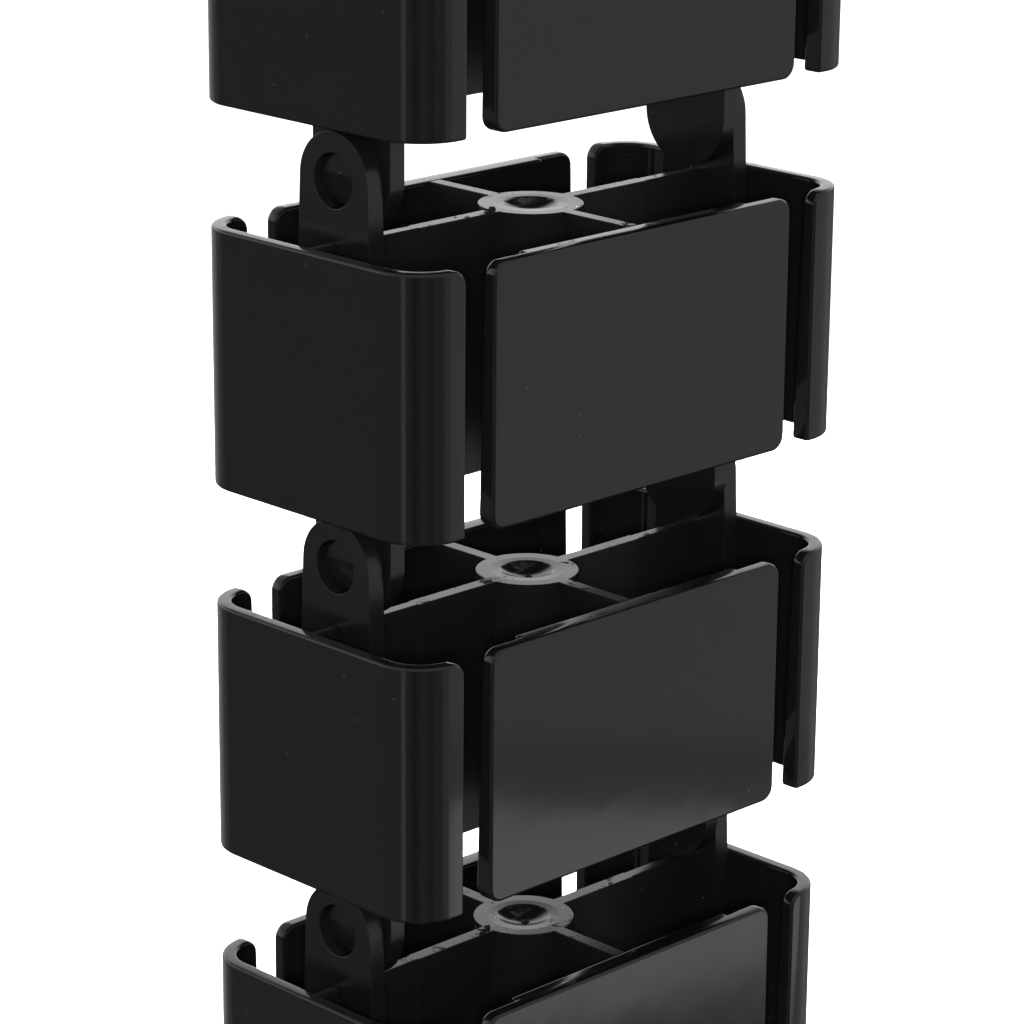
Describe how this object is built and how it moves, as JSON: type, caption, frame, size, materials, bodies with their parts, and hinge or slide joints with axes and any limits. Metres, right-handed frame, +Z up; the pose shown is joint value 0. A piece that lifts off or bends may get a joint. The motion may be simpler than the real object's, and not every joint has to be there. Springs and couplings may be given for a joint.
{
  "type": "cable spine",
  "caption": "Hanging cable spine of hinged black plastic vertebrae, each a rounded box of open cells with side slots that hold cables between desk and floor.",
  "frame": {"origin": "middle of the hinge axis through the top pair of eyes, by which the chain hangs", "axes": "+Z up along the hanging chain, +X along the hinge axes, -Y towards the front plate"},
  "size_m": [0.08, 0.0422, 0.2133],
  "materials": {
    "black_plastic": "glossy moulded black plastic"
  },
  "bodies": {
    "vertebra_1": {"cross_web_1": "black_plastic", "front_plate_1": "black_plastic", "rear_plate_1": "black_plastic", "left_clip_1": "black_plastic", "right_clip_1": "black_plastic", "left_lug_1": "black_plastic", "right_lug_1": "black_plastic"},
    "vertebra_2": {"cross_web_2": "black_plastic", "front_plate_2": "black_plastic", "rear_plate_2": "black_plastic", "left_clip_2": "black_plastic", "right_clip_2": "black_plastic", "left_lug_2": "black_plastic", "right_lug_2": "black_plastic"},
    "vertebra_3": {"cross_web_3": "black_plastic", "front_plate_3": "black_plastic", "rear_plate_3": "black_plastic", "left_clip_3": "black_plastic", "right_clip_3": "black_plastic", "left_lug_3": "black_plastic", "right_lug_3": "black_plastic"},
    "vertebra_4": {"cross_web_4": "black_plastic", "front_plate_4": "black_plastic", "rear_plate_4": "black_plastic", "left_clip_4": "black_plastic", "right_clip_4": "black_plastic", "left_lug_4": "black_plastic", "right_lug_4": "black_plastic"}
  },
  "joints": [
    {"name": "hinge_1", "type": "hinge", "parent": "vertebra_1", "child": "vertebra_2", "pos_m": [0, 0, -0.05], "axis": [1, 0, 0], "range_deg": [-40, 40]},
    {"name": "hinge_2", "type": "hinge", "parent": "vertebra_2", "child": "vertebra_3", "pos_m": [0, 0, -0.1], "axis": [1, 0, 0], "range_deg": [-40, 40]},
    {"name": "hinge_3", "type": "hinge", "parent": "vertebra_3", "child": "vertebra_4", "pos_m": [0, 0, -0.15], "axis": [1, 0, 0], "range_deg": [-40, 40]}
  ]
}
